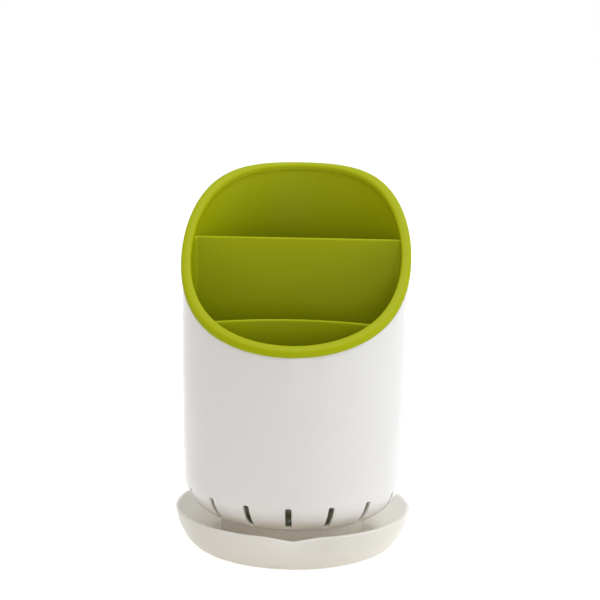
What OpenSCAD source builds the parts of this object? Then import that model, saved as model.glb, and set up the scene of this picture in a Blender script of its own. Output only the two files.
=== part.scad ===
// Round drainer for chopsticks and cutlery: a drip tray, a case with drain slots that stands in it,
// and a lift-out liner with three compartments whose rolled rim rests over the sloping mouth.
// Millimetres, Z up. The low front faces -Y, and the origin is the middle of the tray's base.

/* [Drip tray] */
// Diameter over the rim, without the pouring lip
tray_d = 126; // [124:0.5:134]
// Height of the rim above the table
tray_h = 21.3; // [19:0.1:23]
// Diameter where the flared wall starts
tray_floor_d = 96; // [90:1:100]
// Wall thickness
tray_wall = 1.8; // [1.5:0.1:2.2]
// Height that the flat foot under the tray stands proud
tray_foot_h = 0.3; // [0.2:0.1:0.6]
// How far the pouring lip reaches past the rim
lip_reach = 3; // [1:0.5:5]
// How far the rim dips at the pouring lip
lip_dip = 1; // [0:0.5:2]
// Half of the pouring lip's width along the rim
lip_half_w = 14; // [10:1:20]
// How far the loose tray stands turned, counterclockwise from above
tray_turn = 2.2; // [-10:0.2:10]

/* [Case] */
// Diameter of the case below its mouth
case_d = 119.2; // [118:0.2:120]
// How much the case's radius narrows towards the bottom corner
case_draft = 1.3; // [0.5:0.1:2]
// Height at which that narrowing starts
case_draft_z = 100; // [80:1:110]
// Wall and floor thickness
case_wall = 1.8; // [1.5:0.1:2.2]
// Outside radius of the bottom corner
case_corner_r = 21.3; // [20:0.1:23]
// Height of the underside above the table
case_bottom_z = 18.4; // [16:0.2:20]
// Outside diameter of the foot ring that stands on the tray's floor
foot_d = 77; // [70:1:78]
// Thickness of the foot ring
foot_wall = 2.2; // [1.8:0.1:3]
// Number of drain arches through the foot ring
foot_arches = 8; // [4:1:10]

/* [Drain slots] */
// Number of slots around the bottom corner
slot_count = 16; // [8:1:20]
// Width of a slot
slot_w = 3.2; // [2.4:0.1:3.6]
// Corner radius of a slot's ends
slot_corner_r = 1; // [0.6:0.1:1.1]
// Angle round the bottom corner, down from level, at which a slot starts
slot_top_angle = 13; // [10:1:30]
// Angle round the bottom corner, down from level, at which a slot ends
slot_end_angle = 56; // [50:1:80]
// Diameter of the drain holes in the floors of the case and the liner
drain_d = 5; // [4:0.5:6]

/* [Mouth] */
// Height of the mouth's edge halfway between front and back
mouth_mid_z = 154.8; // [150:0.2:160]
// How far the edge falls to the front and rises to the back
mouth_rise = 41.4; // [35:0.2:45]
// Sweep of the sine that eases the slope towards front and back
mouth_sweep = 72; // [50:1:80]
// How much the edge swells between the middle and either end
mouth_swell = 5.8; // [0:0.2:8]

/* [Liner] */
// Wall and floor thickness
liner_wall = 1.7; // [1.4:0.1:2]
// Clearance between the liner and the case
liner_gap = 0.3; // [0.25:0.05:0.5]
// Diameter over the rolled rim
rim_d = 121.2; // [120.8:0.2:123]
// Width of the rolled rim
rim_w = 5.2; // [4.8:0.1:6]
// Thickness of the rolled rim
rim_t = 3.7; // [2.8:0.1:4]
// Radius of the rolled rim's upper edges
rim_edge_r = 1.4; // [0.8:0.1:1.5]
// Outside radius of the liner's bottom corner
liner_corner_r = 17; // [15:0.5:18]
// Height of the liner's underside above the case's floor
liner_raise = 15.3; // [12:0.1:16]
// Spacing of the drain holes in the liner's floor
drain_pitch = 10; // [9:0.5:12]

/* [Dividers] */
// Thickness of both dividers
divider_t = 2; // [1.6:0.1:2.4]
// How far both dividers end below the mouth's edge where they meet the liner's wall
divider_drop = 1.4; // [1.4:0.2:8]
// Distance of the middle divider behind the axis
middle_y = 12; // [4:1:16]
// Distance of the front divider's middle in front of the axis
front_y = 22; // [20:0.5:26]
// Radius of the front divider's gentle curve
front_curve_r = 90; // [70:5:150]

/* [Hidden] */
eps = 0.01;
fine = 96;
small = 32;
front = -90;
cut_margin = 1;
root_depth = 0.5;

tray_r = tray_d / 2;
tray_floor_r = tray_floor_d / 2;
tray_foot_r = tray_floor_r - 2;
tray_seam_r = tray_foot_r - 3;
tray_flare = tray_r - tray_floor_r;
tray_floor_z = tray_foot_h + tray_wall;
tray_seat_z = tray_floor_z + 0.1;
tray_bowl_h = tray_h - tray_foot_h;
tray_edge_lean = 0.25 * tray_wall;
lip_softness = 0.08;
lip_sharpness = 1.3;
lip_fade = 1.2;

case_r = case_d / 2;
case_corner_z = case_bottom_z + case_corner_r;
case_floor_z = case_bottom_z + case_wall;
top_z = mouth_mid_z + mouth_rise + 20;
wall_steps = 6;
foot_arch_r = 4;

liner_bottom_z = case_floor_z + liner_raise;
liner_inset = case_wall + liner_gap;
drain_rows = 3;
drain_reach = 36;
drain_margin = 5;
case_drain_count = 8;
case_drain_r = 22;
rim_r = rim_d / 2;
rim_under_r = 0.5;
front_half_chord = 45;
mouth_step = 3;
mouth_reach = 66;

// Radius of the case's outside at height z, above the bottom corner
function wall_r(z) =
    case_r - case_draft * pow(max(0, case_draft_z - z) / (case_draft_z - case_corner_z), 1.5);

// Height of the case's mouth at depth y: low in front, steep halfway and level at the back
function mouth_z(y) =
    let (v = y / rim_r)
    mouth_mid_z + mouth_rise * sin(mouth_sweep * v) / sin(mouth_sweep) + mouth_swell * v * v * (1 - v * v);

// Depth of the front divider's middle line at distance x from the centre: it bulges to the back
function front_divider_y(x) = -front_y - front_curve_r + sqrt(front_curve_r * front_curve_r - x * x);

// Places of the drain holes: a square grid in the liner, clear of both dividers, and a ring in the case
liner_drain_spots = [
    for (x = [-drain_rows:drain_rows], y = [-drain_rows:drain_rows])
        let (spot = drain_pitch * [x, y])
        if (norm(spot) < drain_reach
            && abs(spot[1] - middle_y) > drain_margin
            && abs(spot[1] - front_divider_y(spot[0])) > drain_margin) spot
];
case_drain_spots = concat(
    [[0, 0]],
    [for (k = [0:case_drain_count - 1])
        let (a = (k + 0.5) * 360 / case_drain_count) case_drain_r * [cos(a), sin(a)]]
);

// Triangles of a closed tube whose rings all have the same number of points, going all the way round
function round_faces(rings, n) = [
    for (i = [0:rings - 1], j = [0:n - 1])
        let (a = i * n, b = ((i + 1) % rings) * n, k = (j + 1) % n)
        each [[a + j, b + k, b + j], [a + j, a + k, b + k]]
];

// Drip tray

// Share of the pouring lip felt at angle a around the tray: a soft V, 1 at the front
function lip_share(a) =
    let (x = abs(a - front) * PI / 180 * tray_r / lip_half_w,
         v = sqrt(x * x + lip_softness * lip_softness) - lip_softness)
    pow(max(0, 1 - v), lip_sharpness);

// The bowl's outer line from the floor, s = 0, to the rim, s = 90, and its inner line a wall further in
function bowl_r(s) = tray_floor_r + tray_flare * sin(s);
function bowl_z(s) = tray_foot_h + tray_bowl_h * (1 - pow(cos(s), 4 / 3));
function bowl_slope(s) = atan2(bowl_z(s + 0.5) - bowl_z(s - 0.5), bowl_r(s + 0.5) - bowl_r(s - 0.5));
function bowl_outer(s) = [bowl_r(s), bowl_z(s)];
function bowl_inner(s) =
    let (t = min(bowl_slope(s), 90))
    [bowl_r(s) - tray_wall * sin(t), bowl_z(s) + tray_wall * cos(t)];

// Closed cross-section of the tray's wall, from under its floor, up the outside and down the inside
bowl_steps = [0, 12, 24, 36, 48, 58, 68, 77, 85];
bowl_section = concat(
    [[tray_seam_r, tray_foot_h]],
    [for (s = bowl_steps) bowl_outer(s)],
    [[tray_r, tray_h - tray_edge_lean], [tray_r - tray_edge_lean, tray_h],
     [tray_r - 3 * tray_edge_lean, tray_h], [tray_r - tray_wall, tray_h - tray_edge_lean]],
    [for (i = [len(bowl_steps) - 1:-1:0]) bowl_inner(bowl_steps[i])],
    [[tray_seam_r, tray_floor_z]]
);

// Angles round the tray, close together across the pouring lip
tray_angles = concat(
    [for (a = [-16:1:16]) front + a],
    [for (a = [20:5:340]) front + a]
);

// A point of the wall at angle a, drawn out and down by the pouring lip
function tray_point(p, a) =
    let (up = pow(max(0, p[1]) / tray_h, lip_fade),
         share = lip_share(a) * up,
         r = p[0] + lip_reach * share)
    [r * cos(a), r * sin(a), p[1] - lip_dip * share * up * up];

module drip_tray() {
    color("ivory") rotate([0, 0, tray_turn]) {
        polyhedron(
            points = [for (a = tray_angles, p = bowl_section) tray_point(p, a)],
            faces = round_faces(len(tray_angles), len(bowl_section)),
            convexity = 4
        );
        cylinder(h = tray_seat_z, r = tray_foot_r, $fn = fine);
    }
}

// Case and liner cups

// Half section of a solid cup that follows the case's outside a fixed inset further in
module cup_section(inset, bottom_z, corner_r) {
    corner_z = bottom_z + corner_r;
    corner_x = wall_r(corner_z) - inset - corner_r;
    translate([corner_x, corner_z]) circle(r = corner_r, $fn = fine);
    translate([0, bottom_z]) square([corner_x, corner_r + eps]);
    polygon(concat(
        [[0, corner_z]],
        [for (k = [0:wall_steps])
            let (z = corner_z + k * (case_draft_z - corner_z) / wall_steps) [wall_r(z) - inset, z]],
        [[case_r - inset, top_z], [0, top_z]]
    ));
}

module cup(inset, bottom_z, corner_r) {
    rotate_extrude($fn = fine) cup_section(inset, bottom_z, corner_r);
}

// Everything above the mouth's curve, raised by a given height
module above_mouth(raise) {
    rotate([90, 0, 90])
        linear_extrude(height = 4 * rim_r, center = true)
            polygon(concat(
                [for (y = [-mouth_reach:mouth_step:mouth_reach]) [y, mouth_z(y) + raise]],
                [[mouth_reach, 2 * top_z], [-mouth_reach, 2 * top_z]]
            ));
}

// One drain slot: a bar with rounded ends driven through the bottom corner along the middle of the slot's arc
module drain_slot() {
    corner_x = wall_r(case_corner_z) - case_corner_r;
    mid_angle = (slot_top_angle + slot_end_angle) / 2;
    half_l = case_corner_r * sin(slot_end_angle - mid_angle);
    translate([corner_x, 0, case_corner_z])
        rotate([0, 90 + mid_angle, 0])
            translate([0, 0, case_corner_r / 2])
                linear_extrude(height = case_corner_r)
                    polygon([
                        for (side = [1, -1], corner = [-1, 1], a = [0:30:90])
                            let (turn = corner < 0 ? a - 90 : a)
                            side * [half_l - slot_corner_r + slot_corner_r * cos(turn),
                                    corner * (slot_w / 2 - slot_corner_r) + slot_corner_r * sin(turn)]
                    ]);
}

module foot_ring() {
    difference() {
        translate([0, 0, tray_seat_z])
            cylinder(h = case_bottom_z - tray_seat_z + root_depth, d = foot_d, $fn = fine);
        translate([0, 0, tray_seat_z - cut_margin])
            cylinder(h = case_bottom_z, d = foot_d - 2 * foot_wall, $fn = fine);
        for (k = [0:foot_arches - 1])
            rotate([0, 0, (k + 0.5) * 360 / foot_arches])
                translate([0, 0, tray_seat_z])
                    rotate([0, 90, 0])
                        cylinder(h = foot_d, r = foot_arch_r, $fn = small);
    }
}

// Round drain holes up through a floor
module drain_holes(spots) {
    for (spot = spots)
        translate([spot[0], spot[1], case_bottom_z - cut_margin])
            cylinder(h = case_corner_r, d = drain_d, $fn = small);
}

module outer_body() {
    color("white") union() {
        difference() {
            cup(0, case_bottom_z, case_corner_r);
            cup(case_wall, case_floor_z, case_corner_r - case_wall);
            above_mouth(0);
            for (k = [0:slot_count - 1])
                rotate([0, 0, front + k * 360 / slot_count]) drain_slot();
            drain_holes(case_drain_spots);
        }
        foot_ring();
    }
}

// Liner

// Rounded cross-section of the rolled rim: radius, and height above the mouth's edge
rim_low = liner_gap;
rim_high = liner_gap + rim_t;
rim_in_r = rim_r - rim_w;
rim_section = concat(
    [[rim_in_r, rim_low + rim_under_r], [rim_in_r + rim_under_r, rim_low], [rim_r - rim_under_r, rim_low],
     [rim_r, rim_low + rim_under_r]],
    [for (a = [0:22.5:90]) [rim_r - rim_edge_r * (1 - cos(a)), rim_high - rim_edge_r * (1 - sin(a))]],
    [for (a = [90:22.5:180]) [rim_in_r + rim_edge_r * (1 + cos(a)), rim_high - rim_edge_r * (1 - sin(a))]]
);

// The rolled rim: its section carried round the liner while it follows the mouth's curve
module rolled_rim() {
    polyhedron(
        points = [
            for (i = [0:fine - 1], p = rim_section)
                let (a = i * 360 / fine, y = p[0] * sin(a))
                [p[0] * cos(a), y, mouth_z(y) + p[1]]
        ],
        faces = round_faces(fine, len(rim_section)),
        convexity = 6
    );
}

// A straight wall across the liner
module middle_divider() {
    top = mouth_z(middle_y) - divider_drop;
    translate([0, middle_y, 0]) {
        translate([-rim_r, -divider_t / 2, liner_bottom_z])
            cube([2 * rim_r, divider_t, top - divider_t / 2 - liner_bottom_z]);
        translate([0, 0, top - divider_t / 2])
            rotate([0, 90, 0]) cylinder(h = 2 * rim_r, d = divider_t, center = true, $fn = small);
    }
}

// A wall that bulges gently to the back, so its ends meet the liner further forward than its middle
module front_divider() {
    top = mouth_z(front_divider_y(front_half_chord)) - divider_drop;
    translate([0, -front_y - front_curve_r, 0])
        rotate_extrude($fn = 2 * fine) {
            translate([front_curve_r - divider_t / 2, liner_bottom_z])
                square([divider_t, top - divider_t / 2 - liner_bottom_z]);
            translate([front_curve_r, top - divider_t / 2]) circle(d = divider_t, $fn = small);
        }
}

module inner_liner() {
    color("yellowgreen") union() {
        difference() {
            cup(liner_inset, liner_bottom_z, liner_corner_r);
            cup(liner_inset + liner_wall, liner_bottom_z + liner_wall, liner_corner_r - liner_wall);
            above_mouth(liner_gap + rim_t / 2);
            drain_holes(liner_drain_spots);
        }
        intersection() {
            cup(liner_inset + liner_wall / 2, liner_bottom_z + liner_wall / 2, liner_corner_r - liner_wall / 2);
            union() {
                middle_divider();
                front_divider();
            }
        }
        rolled_rim();
    }
}

drip_tray();
outer_body();
inner_liner();
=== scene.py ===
# Round kitchen drainer: a drip tray, a slotted case and a lift-out liner, each one plastic moulding.
# Metres, Z up. The low front of the mouth and the tray's pouring lip face -Y.
import math

import bmesh
import bpy
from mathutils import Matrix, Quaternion, Vector


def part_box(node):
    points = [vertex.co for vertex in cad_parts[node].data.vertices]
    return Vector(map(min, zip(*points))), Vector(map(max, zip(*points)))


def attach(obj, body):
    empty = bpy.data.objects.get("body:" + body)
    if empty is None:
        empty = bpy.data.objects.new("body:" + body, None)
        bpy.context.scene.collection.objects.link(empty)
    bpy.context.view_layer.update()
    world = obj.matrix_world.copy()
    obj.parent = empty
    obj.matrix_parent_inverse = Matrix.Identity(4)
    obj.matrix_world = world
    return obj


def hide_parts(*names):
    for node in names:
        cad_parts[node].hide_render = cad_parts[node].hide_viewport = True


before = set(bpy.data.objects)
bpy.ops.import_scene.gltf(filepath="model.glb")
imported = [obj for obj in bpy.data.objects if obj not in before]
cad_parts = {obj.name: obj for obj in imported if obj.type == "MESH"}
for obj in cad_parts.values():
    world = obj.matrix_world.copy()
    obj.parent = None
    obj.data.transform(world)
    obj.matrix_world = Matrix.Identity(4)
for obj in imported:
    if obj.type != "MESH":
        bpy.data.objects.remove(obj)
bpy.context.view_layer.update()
world_scene = bpy.context.scene

# Camera: it stands a little to the right of the front and looks ten degrees down through a long lens,
# as the photograph does.
mm = 0.001
camera_aim = Vector((2.34 * mm, 0.0, 132.76 * mm))
camera_distance = 969 * mm
camera_turn = math.radians(2.05)
camera_rise = math.radians(10.04)
camera_roll = math.radians(0.84)
camera_lens = 109.9
sensor_width = 36.0

camera_back = Vector((
    math.sin(camera_turn) * math.cos(camera_rise),
    -math.cos(camera_turn) * math.cos(camera_rise),
    math.sin(camera_rise),
))
camera_data = bpy.data.cameras.new("camera")
camera_data.lens = camera_lens
camera_data.sensor_width = sensor_width
camera = bpy.data.objects.new("camera", camera_data)
camera.location = camera_aim + camera_distance * camera_back
camera.rotation_mode = "QUATERNION"
camera.rotation_quaternion = camera_back.to_track_quat("Z", "Y") @ Quaternion((0, 0, 1), camera_roll)
world_scene.collection.objects.link(camera)
world_scene.camera = camera
world_scene.view_settings.view_transform = "Standard"

# Studio: a floor and a surround that the camera, gloss and glass see as white, while their light on the
# object is weaker. The lamps are large and soft: a strong one to the right, a weak warm one to the left,
# a weak one low in front, and one overhead.
floor_half = 4.0
floor_tone = (0.86, 0.86, 0.86, 1)
floor_lift = 0.75
floor_glow = 0.12
surround_level = 0.46
backdrop_level = 1.0
lamp_aim = Vector((0, 0, 0.1))


def white_for(nodes, links):
    """1 for the rays that see the studio as white: straight from the camera, off gloss or through glass."""
    path = nodes.new("ShaderNodeLightPath")
    value = path.outputs["Is Camera Ray"]
    for kind in ("Is Glossy Ray", "Is Transmission Ray"):
        either = nodes.new("ShaderNodeMath")
        either.operation = "MAXIMUM"
        links.new(value, either.inputs[0])
        links.new(path.outputs[kind], either.inputs[1])
        value = either.outputs[0]
    return value


world = bpy.data.worlds.new("surround")
world_scene.world = world
world.use_nodes = True
nodes = world.node_tree.nodes
links = world.node_tree.links
nodes.clear()
seen = white_for(nodes, links)
lighting = nodes.new("ShaderNodeBackground")
lighting.inputs["Color"].default_value = (1, 1, 1, 1)
lighting.inputs["Strength"].default_value = surround_level
backdrop = nodes.new("ShaderNodeBackground")
backdrop.inputs["Color"].default_value = (1, 1, 1, 1)
backdrop.inputs["Strength"].default_value = backdrop_level
mix = nodes.new("ShaderNodeMixShader")
out = nodes.new("ShaderNodeOutputWorld")
links.new(seen, mix.inputs["Fac"])
links.new(lighting.outputs[0], mix.inputs[1])
links.new(backdrop.outputs[0], mix.inputs[2])
links.new(mix.outputs[0], out.inputs["Surface"])

floor_mesh = bpy.data.meshes.new("floor")
floor_mesh.from_pydata(
    [(-floor_half, -floor_half, 0), (floor_half, -floor_half, 0),
     (floor_half, floor_half, 0), (-floor_half, floor_half, 0)],
    [], [(0, 1, 2, 3)],
)
floor = bpy.data.objects.new("floor", floor_mesh)
world_scene.collection.objects.link(floor)

floor_finish = bpy.data.materials.new("floor_finish")
floor_finish.use_nodes = True
nodes = floor_finish.node_tree.nodes
links = floor_finish.node_tree.links
nodes.clear()
paint = nodes.new("ShaderNodeBsdfDiffuse")
paint.inputs["Color"].default_value = floor_tone
mix = nodes.new("ShaderNodeMixShader")
out = nodes.new("ShaderNodeOutputMaterial")
links.new(white_for(nodes, links), mix.inputs["Fac"])

# The floor's own glow lifts it to white where it is seen, and is faint where it only lights the object
for side, strength in ((1, floor_glow), (2, floor_lift)):
    glow = nodes.new("ShaderNodeEmission")
    glow.inputs["Color"].default_value = (1, 1, 1, 1)
    glow.inputs["Strength"].default_value = strength
    lifted = nodes.new("ShaderNodeAddShader")
    links.new(paint.outputs[0], lifted.inputs[0])
    links.new(glow.outputs[0], lifted.inputs[1])
    links.new(lifted.outputs[0], mix.inputs[side])
links.new(mix.outputs[0], out.inputs["Surface"])
floor_mesh.materials.append(floor_finish)


def soft_lamp(name, place, size, watts, tone):
    """A square lamp that faces the middle of the object."""
    data = bpy.data.lights.new(name, "AREA")
    data.shape = "SQUARE"
    data.size = size
    data.energy = watts
    data.color = tone
    lamp = bpy.data.objects.new(name, data)
    lamp.location = place
    lamp.rotation_mode = "QUATERNION"
    lamp.rotation_quaternion = (Vector(place) - lamp_aim).to_track_quat("Z", "Y")
    world_scene.collection.objects.link(lamp)


soft_lamp("key_lamp", place=(1.25, -0.11, 0.45), size=0.7, watts=5.0, tone=(0.97, 0.985, 1.0))
soft_lamp("left_lamp", place=(-1.1, -0.65, 0.3), size=0.5, watts=0.8, tone=(1.0, 0.72, 0.50))
soft_lamp("front_lamp", place=(0.15, -1.2, 0.2), size=0.35, watts=1.8, tone=(1.0, 0.97, 0.92))
soft_lamp("top_lamp", place=(0.1, 0.0, 1.2), size=0.6, watts=6.5, tone=(1.0, 1.0, 1.0))

# Drip tray: an off-white saucer, moulded in one plastic shot, with a flared wall, a thin rounded edge,
# a flat foot underneath and a small V lip at the front, drawn out so that the water can be poured away.
tray_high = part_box("drip_tray")[1]
tray_r = tray_high.x
tray_h = tray_high.z
tray_wall = 1.8 * mm
tray_edge_r = tray_wall / 2
tray_foot_r = 46 * mm
tray_foot_h = 0.3 * mm
tray_foot_round = ((0.4, 0.3), (0.1, 0.26), (0, 0.15), (-0.1, 0.04), (-0.4, 0.0))
tray_seat_z = 2.2 * mm
tray_seat_round = ((46, 0), (47, -0.05))
tray_seat_radii = (0, 15, 30, 42, 45)
tray_base_radii = (30, 15, 0)
bowl_start_r = 48 * mm
bowl_bend = 4 / 3
bowl_top_step = 84
tray_turn = math.radians(2.2)
lip_angle = math.radians(-90) + tray_turn
lip_reach = 3 * mm
lip_dip = 1 * mm
lip_half_w = 14 * mm
lip_softness = 0.08
lip_sharpness = 1.3
lip_fade = 1.2


def bowl_line(step):
    """The bowl's outside at a step of 0 to 90 degrees from the floor to the rim: radius and height."""
    a = math.radians(step)
    rise = 1 - max(0.0, math.cos(a)) ** bowl_bend
    return bowl_start_r + (tray_r - bowl_start_r) * math.sin(a), tray_foot_h + (tray_h - tray_foot_h) * rise


def bowl_inside(step):
    """The bowl's inside: a wall's thickness in from the outside, square to it."""
    r0, z0 = bowl_line(step - 0.5)
    r1, z1 = bowl_line(step + 0.5)
    slope = 0.0 if step == 0 else math.atan2(z1 - z0, r1 - r0)
    r, z = bowl_line(step)
    return r - tray_wall * math.sin(slope), z + tray_wall * math.cos(slope)


def drawn_lip(angle):
    """How much of the pouring lip is felt at an angle: a soft V that is 1 at the front."""
    away = abs(angle - lip_angle) * tray_r / lip_half_w
    v = math.hypot(away, lip_softness) - lip_softness
    return max(0.0, 1 - v) ** lip_sharpness


def tray_ring(r, z):
    """A ring of the tray, as a function of the angle, drawn out and down at the pouring lip."""
    up = (max(0.0, z) / tray_h) ** lip_fade

    def at(angle):
        share = drawn_lip(angle) * up
        reach = r + (lip_reach * share if r > 0 else 0)
        return reach * math.cos(angle), reach * math.sin(angle), z - lip_dip * share * up * up

    return at


def ring_faces(ring_count, n):
    """Faces between closed rings of n points each."""
    return [
        (i * n + j, i * n + (j + 1) % n, (i + 1) * n + (j + 1) % n, (i + 1) * n + j)
        for i in range(ring_count - 1)
        for j in range(n)
    ]


def ringed(rings, angles):
    """Points and faces of a skin made of closed rings, each a function of the angle round the axis."""
    points = [ring(angle) for ring in rings for angle in angles]
    return points, ring_faces(len(rings), len(angles))


def weld(shape, reach=0.002 * mm):
    """Joins points that lie together and turns every face of a closed skin outwards."""
    bmesh.ops.remove_doubles(shape, verts=shape.verts, dist=reach)
    bmesh.ops.recalc_face_normals(shape, faces=shape.faces)


def moulded(name, shape, body, crease=32):
    """Makes an object of a finished shape: smooth, but sharp where the faces meet at more than crease."""
    mesh = bpy.data.meshes.new(name)
    shape.to_mesh(mesh)
    shape.free()
    mesh.shade_smooth()
    mesh.set_sharp_from_angle(angle=math.radians(crease))
    piece = bpy.data.objects.new(name, mesh)
    world_scene.collection.objects.link(piece)
    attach(piece, body)
    return piece


def skin(points, faces):
    """A shape made of points, and of faces that list their corners."""
    shape = bmesh.new()
    corners = [shape.verts.new(p) for p in points]
    for face in faces:
        shape.faces.new([corners[i] for i in face])
    return shape


tray_rings = [tray_ring(r * mm, tray_seat_z) for r in tray_seat_radii]
tray_rings += [tray_ring(r * mm, tray_seat_z + z * mm) for r, z in tray_seat_round]
tray_rings += [tray_ring(*bowl_inside(step)) for step in range(0, bowl_top_step + 1, 2)]
tray_rings += [
    tray_ring(
        tray_r - tray_edge_r + tray_edge_r * math.cos(math.radians(a)),
        tray_h - tray_edge_r + tray_edge_r * math.sin(math.radians(a)),
    )
    for a in range(165, -1, -15)
]
tray_rings += [tray_ring(*bowl_line(step)) for step in range(bowl_top_step, -1, -2)]
tray_rings += [tray_ring(tray_foot_r + r * mm, z * mm) for r, z in tray_foot_round]
tray_rings += [tray_ring(r * mm, 0) for r in tray_base_radii]

# Round the tray, in half degrees from the lip: fine steps across the lip and wide ones round the rest
lip_span = 40
tray_angles = [lip_angle + math.radians(a / 2) for a in range(-lip_span, lip_span + 1)]
tray_angles += [lip_angle + math.radians(a / 2) for a in range(lip_span + 5, 720 - lip_span, 5)]
tray_shape = skin(*ringed(tray_rings, tray_angles))
weld(tray_shape)
tray = moulded("tray_moulding", tray_shape, "tray")
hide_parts("drip_tray")


def moulded_skin_group():
    """What a moulding's surface shows close up: faint clouds in the plastic, a fine orange peel, drawn
    flow marks, and hair-thin scuffs that dull the gloss here and there."""
    group = bpy.data.node_groups.new("moulded_skin", "ShaderNodeTree")
    sockets = group.interface
    for name, kind, value in (
        ("Plastic", "NodeSocketColor", (0.8, 0.8, 0.8, 1)),
        ("Shade", "NodeSocketColor", (0.7, 0.7, 0.7, 1)),
        ("Clouding", "NodeSocketFloat", 0.3),
        ("Gloss", "NodeSocketFloat", 0.3),
        ("Dulling", "NodeSocketFloat", 0.1),
        ("Peel", "NodeSocketFloat", 0.3),
    ):
        socket = sockets.new_socket(name=name, in_out="INPUT", socket_type=kind)
        socket.default_value = value
    for name, kind in (
        ("Color", "NodeSocketColor"), ("Roughness", "NodeSocketFloat"), ("Height", "NodeSocketFloat"),
    ):
        sockets.new_socket(name=name, in_out="OUTPUT", socket_type=kind)
    nodes = group.nodes
    links = group.links
    given = nodes.new("NodeGroupInput")
    made = nodes.new("NodeGroupOutput")
    place = nodes.new("ShaderNodeTexCoord")

    def noise(scale, detail, stretch=(1, 1, 1)):
        spread = nodes.new("ShaderNodeMapping")
        spread.inputs["Scale"].default_value = stretch
        links.new(place.outputs["Object"], spread.inputs["Vector"])
        grain = nodes.new("ShaderNodeTexNoise")
        grain.inputs["Scale"].default_value = scale
        grain.inputs["Detail"].default_value = detail
        links.new(spread.outputs["Vector"], grain.inputs["Vector"])
        return grain.outputs["Fac"]

    def ranged(value, low, high):
        """0 where the value is at low, up to 1 where it is at high."""
        fit = nodes.new("ShaderNodeMapRange")
        fit.inputs["From Min"].default_value = low
        fit.inputs["From Max"].default_value = high
        links.new(value, fit.inputs["Value"])
        return fit.outputs["Result"]

    def combine(kind, a, b):
        """Adds or multiplies two values, each of them a number or another node's output."""
        sum_node = nodes.new("ShaderNodeMath")
        sum_node.operation = kind
        for side, value in enumerate((a, b)):
            if isinstance(value, (int, float)):
                sum_node.inputs[side].default_value = value
            else:
                links.new(value, sum_node.inputs[side])
        return sum_node.outputs[0]

    clouds = ranged(noise(scale=22, detail=4), low=0.3, high=0.7)
    flow = ranged(noise(scale=55, detail=3, stretch=(1, 1, 0.12)), low=0.35, high=0.65)
    streaked = combine("ADD", combine("MULTIPLY", clouds, 0.7), combine("MULTIPLY", flow, 0.3))
    blend = combine("MULTIPLY", streaked, given.outputs["Clouding"])
    tint = nodes.new("ShaderNodeMix")
    tint.data_type = "RGBA"
    links.new(blend, tint.inputs["Factor"])
    links.new(given.outputs["Plastic"], tint.inputs["A"])
    links.new(given.outputs["Shade"], tint.inputs["B"])
    links.new(tint.outputs["Result"], made.inputs["Color"])

    scuffs = ranged(noise(scale=260, detail=2, stretch=(1, 1, 0.03)), low=0.60, high=0.72)
    patches = ranged(noise(scale=35, detail=2), low=0.45, high=0.65)
    scuffed = combine("MULTIPLY", combine("MULTIPLY", scuffs, patches), given.outputs["Dulling"])
    hazed = combine("MULTIPLY", combine("MULTIPLY", clouds, 0.4), given.outputs["Dulling"])
    dull = combine("ADD", scuffed, hazed)
    links.new(combine("ADD", given.outputs["Gloss"], dull), made.inputs["Roughness"])

    peel = combine("MULTIPLY", noise(scale=900, detail=2), given.outputs["Peel"])
    waves = combine("MULTIPLY", noise(scale=70, detail=1), combine("MULTIPLY", given.outputs["Peel"], 2.0))
    links.new(combine("ADD", peel, waves), made.inputs["Height"])
    return group


moulded_skin = moulded_skin_group()
plastic_ior = 1.49
peel_strength = 0.35
peel_depth = 0.05 * mm


def plastic(name, tone, shade, clouding, gloss, dulling, peel, shine, milk, milk_depth):
    """A moulded plastic: the shared skin feeds one Principled shader. Shine is how strongly the surface
    mirrors, milk how much of the light goes into the wall, and milk_depth how far it gets there."""
    finish = bpy.data.materials.new(name)
    finish.use_nodes = True
    nodes = finish.node_tree.nodes
    links = finish.node_tree.links
    surface = nodes["Principled BSDF"]
    surface.inputs["IOR"].default_value = plastic_ior
    surface.inputs["Specular IOR Level"].default_value = shine
    surface.inputs["Subsurface Weight"].default_value = milk
    surface.inputs["Subsurface Radius"].default_value = (1.0, 1.0, 1.0)
    surface.inputs["Subsurface Scale"].default_value = milk_depth
    close_up = nodes.new("ShaderNodeGroup")
    close_up.node_tree = moulded_skin
    close_up.inputs["Plastic"].default_value = (*tone, 1)
    close_up.inputs["Shade"].default_value = (*shade, 1)
    close_up.inputs["Clouding"].default_value = clouding
    close_up.inputs["Gloss"].default_value = gloss
    close_up.inputs["Dulling"].default_value = dulling
    close_up.inputs["Peel"].default_value = peel
    bump = nodes.new("ShaderNodeBump")
    bump.inputs["Strength"].default_value = peel_strength
    bump.inputs["Distance"].default_value = peel_depth
    links.new(close_up.outputs["Color"], surface.inputs["Base Color"])
    links.new(close_up.outputs["Roughness"], surface.inputs["Roughness"])
    links.new(close_up.outputs["Height"], bump.inputs["Height"])
    links.new(bump.outputs["Normal"], surface.inputs["Normal"])
    return finish


tray.data.materials.append(plastic(
    "tray_plastic", tone=(0.985, 0.885, 0.70), shade=(0.97, 0.855, 0.65), clouding=0.35, gloss=0.32,
    dulling=0.05, peel=0.4, shine=0.4, milk=1.0, milk_depth=18 * mm,
))

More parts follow.
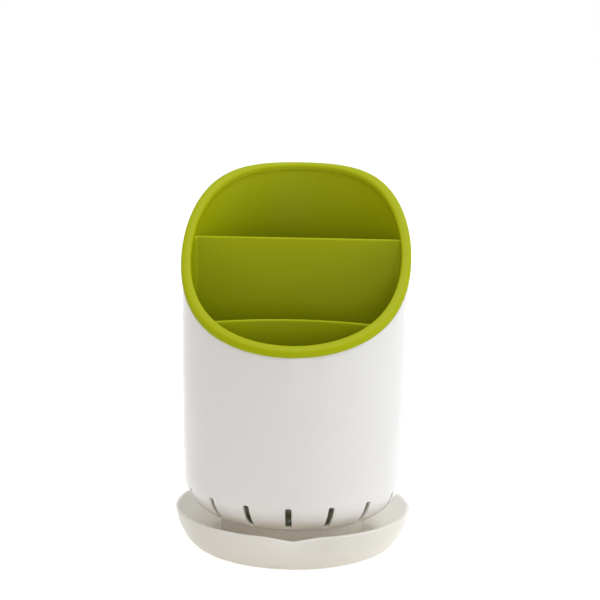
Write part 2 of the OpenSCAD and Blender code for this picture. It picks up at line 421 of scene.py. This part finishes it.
# Case: the glossy white outer cylinder, one moulding. Its big round bottom corner is cut by a ring of
# drain slots, its mouth slopes, and a foot ring with drain arches stands it on the tray's floor.
case_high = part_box("outer_body")[1]
liner_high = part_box("inner_liner")[1]
case_r = case_high.x
case_wall = 1.8 * mm
case_draft = 1.3 * mm
case_draft_z = 100 * mm
case_draft_bend = 1.5
case_bottom_z = 18.4 * mm
case_corner_r = 21.3 * mm
case_corner_z = case_bottom_z + case_corner_r
case_floor_z = case_bottom_z + case_wall
case_plate_r = 36 * mm
rim_r = liner_high.x
mouth_mid_z = 154.8 * mm
mouth_rise = 41.4 * mm
mouth_sweep = math.radians(72)
mouth_swell = 5.8 * mm
slot_count = 16
slot_w = 3.2 * mm
slot_top_angle = math.radians(13)
slot_end_angle = math.radians(56)
slot_edge_r = 0.35 * mm
slot_squareness = 0.55
half_columns = 9
end_steps = 6
below_rows = 9
slot_rows = 14
above_rows = 5
wall_steps = 56
mouth_edge = 0.5 * mm
mouth_edge_bend = ((0.3, 0.3), (1, 0))


def wall_radius(z):
    """Radius of the case's outside above its bottom corner."""
    low = max(0.0, case_draft_z - z) / (case_draft_z - case_corner_z)
    return case_r - case_draft * low ** case_draft_bend


def mouth_height(y):
    """Height of the mouth's edge: low in front, steep halfway and level at the back."""
    v = y / rim_r
    ease = math.sin(mouth_sweep * v) / math.sin(mouth_sweep)
    return mouth_mid_z + mouth_rise * ease + mouth_swell * v * v * (1 - v * v)


def corner_rows(depth, spread):
    """Rows of the bottom corner from its floor edge up, as radius, height and half the slot's width,
    on the skin at a depth below the outside and round a slot that is widened by spread."""
    centre_r = wall_radius(case_corner_z) - case_corner_r
    half_w = slot_w / 2 + spread
    end_turn = slot_w / 2 / case_corner_r
    low_end = slot_end_angle - end_turn
    high_end = slot_top_angle + end_turn
    turn = half_w / case_corner_r
    quarter = [math.pi / 2 * k / end_steps for k in range(end_steps + 1)]
    bend = [(max(0.0, math.cos(q)) ** slot_squareness, math.sin(q) ** slot_squareness) for q in quarter]
    rows = [(math.pi / 2 + (low_end + turn - math.pi / 2) * k / below_rows, 0) for k in range(below_rows)]
    rows += [(low_end + turn * along, half_w * across) for along, across in bend]
    rows += [(low_end + (high_end - low_end) * k / slot_rows, half_w) for k in range(1, slot_rows)]
    rows += [(high_end - turn * along, half_w * across) for along, across in bend[::-1]]
    rows += [((high_end - turn) * (1 - k / above_rows), 0) for k in range(1, above_rows + 1)]
    arc = case_corner_r - depth
    return [
        (centre_r + arc * math.cos(a), case_corner_z - arc * math.sin(a), max(0.0, w))
        for a, w in rows
    ]


def case_row(sector, radius, height, half_w=0.0):
    """Points of one row of one slot's sector: left of the slot, then right of it."""
    middle = math.radians(-90 + sector * 360 / slot_count)
    half_sector = math.pi / slot_count
    edge = math.asin(min(1.0, half_w / radius))
    turns = [-half_sector + (half_sector - edge) * j / half_columns for j in range(half_columns + 1)]
    turns += [edge + (half_sector - edge) * j / half_columns for j in range(half_columns + 1)]
    points = []
    for turn in turns:
        angle = middle + turn
        z = height(radius * math.sin(angle)) if callable(height) else height
        r = wall_radius(z) - (case_r - radius) if callable(height) else radius
        points.append((r * math.cos(angle), r * math.sin(angle), z))
    return points


def wall_rows(depth, drop):
    """Rows of the upright wall at a depth below the outside, ending a drop below the mouth's edge."""
    def at(share):
        return lambda y: case_corner_z + share * (mouth_height(y) - drop - case_corner_z)
    return [(case_r - depth, at(k / wall_steps), 0) for k in range(1, wall_steps + 1)]


# The case's section: up the outside, over the mouth's rounded edge and down the inside
case_rows = [(case_plate_r, case_bottom_z, 0)]
case_rows += corner_rows(0, slot_edge_r) + wall_rows(0, mouth_edge)
case_rows += [
    (case_r - depth * mouth_edge, lambda y, drop=drop: mouth_height(y) - drop * mouth_edge, 0)
    for depth, drop in mouth_edge_bend
]
case_rows += [
    (case_r - case_wall + depth * mouth_edge, lambda y, drop=drop: mouth_height(y) - drop * mouth_edge, 0)
    for depth, drop in reversed(mouth_edge_bend)
]
case_rows += wall_rows(case_wall, mouth_edge)[::-1] + corner_rows(case_wall, slot_edge_r)[::-1]
case_rows += [(case_plate_r, case_floor_z, 0)]

case_points = []
case_faces = []
columns = 2 * (half_columns + 1)
for sector in range(slot_count):
    for row, (radius, height, half_w) in enumerate(case_rows):
        start = len(case_points)
        case_points += case_row(sector, radius, height, half_w)
        if row == 0:
            continue
        for j in range(columns - 1):
            if j != half_columns:
                case_faces.append((start + j, start + j + 1, start + j + 1 - columns, start + j - columns))

# Slot walls: the outline of the slot on each layer through the wall, with a small round at both faces
half_bend = 1 - math.sqrt(0.5)
slot_edge = ((0, 1), (half_bend, half_bend), (1, 0))
slot_layers = [(depth * slot_edge_r, spread * slot_edge_r) for depth, spread in slot_edge]
slot_layers += [(case_wall - depth, spread) for depth, spread in reversed(slot_layers)]
for sector in range(slot_count):
    outlines = []
    for depth, spread in slot_layers:
        cut = corner_rows(depth, spread)[below_rows:below_rows + 2 * end_steps + slot_rows + 1]
        right = [case_row(sector, *row)[half_columns + 1] for row in cut]
        left = [case_row(sector, *row)[half_columns] for row in cut[1:-1]]
        outlines.append(right + left[::-1])
    n = len(outlines[0])
    for layer, outline in enumerate(outlines):
        start = len(case_points)
        case_points += outline
        if layer:
            for j in range(n):
                k = (j + 1) % n
                case_faces.append((start + j, start + k, start + k - n, start + j - n))

case_shape = skin(case_points, case_faces)
weld(case_shape)

# Drain holes: a ring of them round the middle one
drain_r = 2.5 * mm
drain_edge = 0.3 * mm
drain_sides = 28
case_drain_count = 8
case_drain_ring_r = 22 * mm
flat_gap = 0.001 * mm
ring_gap = 0.01 * mm


def drained_plate(shape, plate_r, low_z, high_z, spots):
    """Closes the floor of a cup, between its two faces at low_z and high_z, round its drain holes."""
    turns = [2 * math.pi * k / drain_sides for k in range(drain_sides)]
    layers = ((drain_edge, low_z), (0, low_z + drain_edge), (0, high_z - drain_edge), (drain_edge, high_z))
    rims = {low_z: [], high_z: []}
    for x, y in spots:
        before = None
        for spread, z in layers:
            r = drain_r + spread
            loop = [shape.verts.new((x + r * math.cos(a), y + r * math.sin(a), z)) for a in turns]
            if z in rims:
                rims[z] += [shape.edges.new((loop[k - 1], loop[k])) for k in range(len(loop))]
            if before:
                for k in range(len(loop)):
                    shape.faces.new((before[k - 1], before[k], loop[k], loop[k - 1]))
            before = loop
    for z, edges in rims.items():
        edges += [
            edge for edge in shape.edges
            if edge.is_boundary and edge not in edges
            and all(abs(v.co.z - z) < flat_gap for v in edge.verts)
            and all(abs(v.co.xy.length - plate_r) < ring_gap for v in edge.verts)
        ]
        bmesh.ops.triangle_fill(shape, use_beauty=True, use_dissolve=False, edges=edges, normal=(0, 0, 1))
    bmesh.ops.recalc_face_normals(shape, faces=shape.faces)


case_spots = [(0, 0)]
for k in range(case_drain_count):
    angle = math.radians((k + 0.5) * 360 / case_drain_count)
    case_spots.append((case_drain_ring_r * math.cos(angle), case_drain_ring_r * math.sin(angle)))
drained_plate(case_shape, case_plate_r, case_bottom_z, case_floor_z, case_spots)


def add_skin(shape, points, faces):
    """Adds a closed skin that stands in another one, as a rib or foot of the same moulding."""
    more = skin(points, faces)
    weld(more)
    mesh = bpy.data.meshes.new("part")
    more.to_mesh(mesh)
    more.free()
    shape.from_mesh(mesh)
    bpy.data.meshes.remove(mesh)


# Foot ring under the case's floor: columns of points round it, which rise over each drain arch
foot_r = 38.5 * mm
foot_wall = 2.2 * mm
foot_edge = 0.3 * mm
arch_r = 4 * mm
arch_count = 8
arch_steps = 12
pad_steps = 7
foot_top_z = case_bottom_z + case_wall / 2
arch_turn = math.asin(arch_r / foot_r)
pad_turn = 2 * math.pi / arch_count - 2 * arch_turn
foot_columns = []
for arch in range(arch_count):
    middle = math.radians((arch + 0.5) * 360 / arch_count)
    for k in range(arch_steps + 1):
        bend = math.radians(-90 + 180 * k / arch_steps)
        lift = arch_r * max(0.0, math.cos(bend))
        foot_columns.append((middle, arch_r * math.sin(bend), tray_seat_z + lift))
    for k in range(1, pad_steps):
        foot_columns.append((middle + arch_turn + pad_turn * k / pad_steps, 0, tray_seat_z))
foot_points = []
for middle, side, low_z in foot_columns:
    for radius, z in (
        (foot_r - foot_edge, low_z), (foot_r, low_z + foot_edge), (foot_r, foot_top_z),
        (foot_r - foot_wall, foot_top_z), (foot_r - foot_wall, low_z + foot_edge),
        (foot_r - foot_wall + foot_edge, low_z),
    ):
        angle = middle + math.asin(side / radius)
        foot_points.append((radius * math.cos(angle), radius * math.sin(angle), z))
n = len(foot_points) // len(foot_columns)
foot_faces = []
for column in range(len(foot_columns)):
    here = column * n
    beyond = (column + 1) % len(foot_columns) * n
    foot_faces += [(here + j, here + (j + 1) % n, beyond + (j + 1) % n, beyond + j) for j in range(n)]
add_skin(case_shape, foot_points, foot_faces)
case = moulded("case_moulding", case_shape, "case")
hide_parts("outer_body")
case.data.materials.append(plastic(
    "case_plastic", tone=(0.86, 0.845, 0.83), shade=(0.83, 0.815, 0.80), clouding=0.2, gloss=0.24,
    dulling=0.03, peel=0.3, shine=0.5, milk=0.7, milk_depth=6 * mm,
))

# Liner: the lime green cup that lifts out of the case, one moulding. Its rolled rim covers the case's
# edge and carries it, two dividers part it into three compartments, and its raised floor is perforated.
liner_inset = 2.1 * mm
liner_wall = 1.7 * mm
liner_corner_r = 17 * mm
liner_bottom_z = case_floor_z + 15.3 * mm
liner_floor_z = liner_bottom_z + liner_wall
liner_plate_r = 38 * mm
liner_corner_z = liner_bottom_z + liner_corner_r
liner_corner_x = wall_radius(liner_corner_z) - liner_inset - liner_corner_r
rim_w = 5.2 * mm
rim_low = 0.3 * mm
rim_t = 3.7 * mm
rim_edge_r = 1.4 * mm
rim_crown = 0.15 * mm
liner_columns = 288
liner_wall_steps = 60


def liner_ring(radius, height):
    """A ring of the liner. Its height is fixed, or a function of how far back a point lies."""
    def at(angle):
        z = height(radius * math.sin(angle)) if callable(height) else height
        r = wall_radius(z) - (case_r - radius) if callable(height) else radius
        return r * math.cos(angle), r * math.sin(angle), z
    return at


def liner_wall_rings(inset):
    """Rings of the upright wall at an inset from the case's outside, up to the mouth's edge."""
    def at(share):
        return lambda y: liner_corner_z + share * (mouth_height(y) - liner_corner_z)
    return [liner_ring(case_r - inset, at(k / liner_wall_steps)) for k in range(1, liner_wall_steps + 1)]


def liner_corner_rings(thickness):
    """Rings of the round bottom corner, on the skin at a depth of thickness below the outside."""
    arc = liner_corner_r - thickness
    return [
        liner_ring(liner_corner_x + arc * math.sin(bend), liner_corner_z - arc * math.cos(bend))
        for bend in map(math.radians, range(0, 91, 5))
    ]


def rim_ring(r, rise):
    """A ring of the rim, which keeps its rise above the mouth's edge all the way round."""
    def at(angle):
        x, y = r * math.cos(angle), r * math.sin(angle)
        return x, y, mouth_height(y) + rise
    return at


def rim_shoulder(a):
    """The round between the rim's side and its top, at a degrees from the side: inset and rise."""
    bend = math.radians(a)
    return rim_edge_r * (1 - math.cos(bend)), rim_top - rim_crown - rim_edge_r * (1 - math.sin(bend))


inner_r = rim_r - rim_w
rim_top = rim_low + rim_t
rim_mid_r = (rim_r + inner_r) / 2
liner_inner_r = case_r - liner_inset - liner_wall
liner_outer_r = case_r - liner_inset

# The rim's section: from the liner's inside up to its shoulder, over the crown and down to the seat
rim_line = [(liner_inner_r - 0.05 * mm, 0.25 * mm), (inner_r + 0.1 * mm, 0.55 * mm), (inner_r, 0.95 * mm)]
rim_line += [(inner_r + inset, rise) for inset, rise in map(rim_shoulder, range(0, 76, 15))]
rim_line += [(rim_mid_r + k * 0.6 * mm, rim_top - 0.03 * k * k * mm) for k in (-2, -1, 0, 1, 2)]
rim_line += [(rim_r - inset, rise) for inset, rise in map(rim_shoulder, range(75, -1, -15))]
rim_line += [(rim_r, rim_low + 0.5 * mm), (rim_r - 0.15 * mm, rim_low + 0.15 * mm)]
rim_line += [(rim_r - 0.5 * mm, rim_low), (liner_outer_r + 0.5 * mm, rim_low)]
rim_line += [(liner_outer_r + 0.15 * mm, rim_low - 0.15 * mm)]

liner_rings = [liner_ring(liner_plate_r, liner_floor_z)] + liner_corner_rings(liner_wall)
liner_rings += liner_wall_rings(liner_inset + liner_wall)
liner_rings += [rim_ring(r, rise) for r, rise in rim_line]
liner_rings += [rim_ring(liner_outer_r, rim_low - 0.5 * mm)]
liner_rings += liner_wall_rings(liner_inset)[-2::-1] + liner_corner_rings(0)[::-1]
liner_rings += [liner_ring(liner_plate_r, liner_bottom_z)]
liner_angles = [2 * math.pi * k / liner_columns for k in range(liner_columns)]
liner_shape = skin(*ringed(liner_rings, liner_angles))
weld(liner_shape)

# Dividers: a straight one and a lower, curved one in front of it, grown out of the wall and the floor
middle_y = 12 * mm
front_y = 22 * mm
front_curve_r = 90 * mm
front_half_chord = 45 * mm
divider_drop = 1.4 * mm
divider_half = 1 * mm
divider_root = 0.6 * mm
divider_sides = 72
divider_rows = 60
fillet_rows = 4
fillet_step = 0.4 * mm
wall_fillet = 1.8 * mm
floor_fillet = 1.0 * mm
halvings = 40


def middle_path(x):
    """The straight divider's middle line: a point, and the direction square to the divider."""
    return Vector((x, middle_y, 0)), Vector((0, 1, 0))


def front_path(x):
    """The front divider's gentle curve, which bulges to the back."""
    back = math.sqrt(front_curve_r ** 2 - x ** 2)
    return Vector((x, back - front_y - front_curve_r, 0)), Vector((x, back, 0)).normalized()


drain_pitch = 10 * mm
drain_rows = 3
drain_reach = 36 * mm
drain_margin = 5 * mm
liner_spots = [
    (x * drain_pitch, y * drain_pitch)
    for x in range(-drain_rows, drain_rows + 1)
    for y in range(-drain_rows, drain_rows + 1)
    if math.hypot(x, y) * drain_pitch < drain_reach
    and abs(y * drain_pitch - middle_y) > drain_margin
    and abs(y * drain_pitch - front_path(x * drain_pitch)[0].y) > drain_margin
]
drained_plate(liner_shape, liner_plate_r, liner_bottom_z, liner_floor_z, liner_spots)


def inside_radius(z):
    """Radius of the liner's inside at height z."""
    if z >= liner_corner_z:
        return wall_radius(z) - liner_inset - liner_wall
    arc = liner_corner_r - liner_wall
    return liner_corner_x + math.sqrt(max(0.0, arc * arc - (liner_corner_z - z) ** 2))


def swell(distance, radius):
    """How far a fillet stands out at a distance from the wall it runs into."""
    near = radius - min(radius, max(0.0, distance))
    return radius - math.sqrt(max(0.0, radius * radius - near * near))


def divider(path, top_z):
    """A wall that follows path across the liner, round on top, with fillets at its sides and floor."""
    heights = [liner_floor_z - divider_root + k * fillet_step for k in range(fillet_rows + 1)]
    fillet_top = heights[-1]
    upright = top_z - divider_half - fillet_top
    heights += [fillet_top + upright * k / divider_rows for k in range(1, divider_rows + 1)]
    rows = [(z, 1.0) for z in heights]
    rows += [
        (top_z - divider_half * (1 - math.sin(math.radians(a))), math.cos(math.radians(a)))
        for a in range(15, 91, 15)
    ]
    points = []
    for z, thin in rows:
        reach = inside_radius(z) + divider_root
        low, high = 0.0, reach
        for _ in range(halvings):
            half = (low + high) / 2
            low, high = (half, high) if path(half)[0].length < reach else (low, half)
        front_line, back_line = [], []
        for k in range(divider_sides + 1):
            x = low * math.sin(math.radians(-90 + 180 * k / divider_sides))
            middle, square = path(x)
            away = inside_radius(z) - middle.length
            thick = divider_half * thin + max(
                swell(away, wall_fillet) * thin, swell(z - liner_floor_z, floor_fillet))
            front_line.append(middle - square * thick + Vector((0, 0, z)))
            back_line.append(middle + square * thick + Vector((0, 0, z)))
        points += front_line + back_line[::-1]
    n = 2 * (divider_sides + 1)
    faces = ring_faces(len(rows), n)
    faces += [(j, j + 1, n - 2 - j, n - 1 - j) for j in range(divider_sides)]
    return points, faces


add_skin(liner_shape, *divider(middle_path, mouth_height(middle_y) - divider_drop))
add_skin(liner_shape, *divider(front_path, mouth_height(front_path(front_half_chord)[0].y) - divider_drop))

liner = moulded("liner_moulding", liner_shape, "liner")
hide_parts("inner_liner")
liner.data.materials.append(plastic(
    "liner_plastic", tone=(0.37, 0.415, 0.002), shade=(0.33, 0.38, 0.002), clouding=0.3, gloss=0.42,
    dulling=0.05, peel=0.4, shine=0.08, milk=0, milk_depth=1 * mm,
))
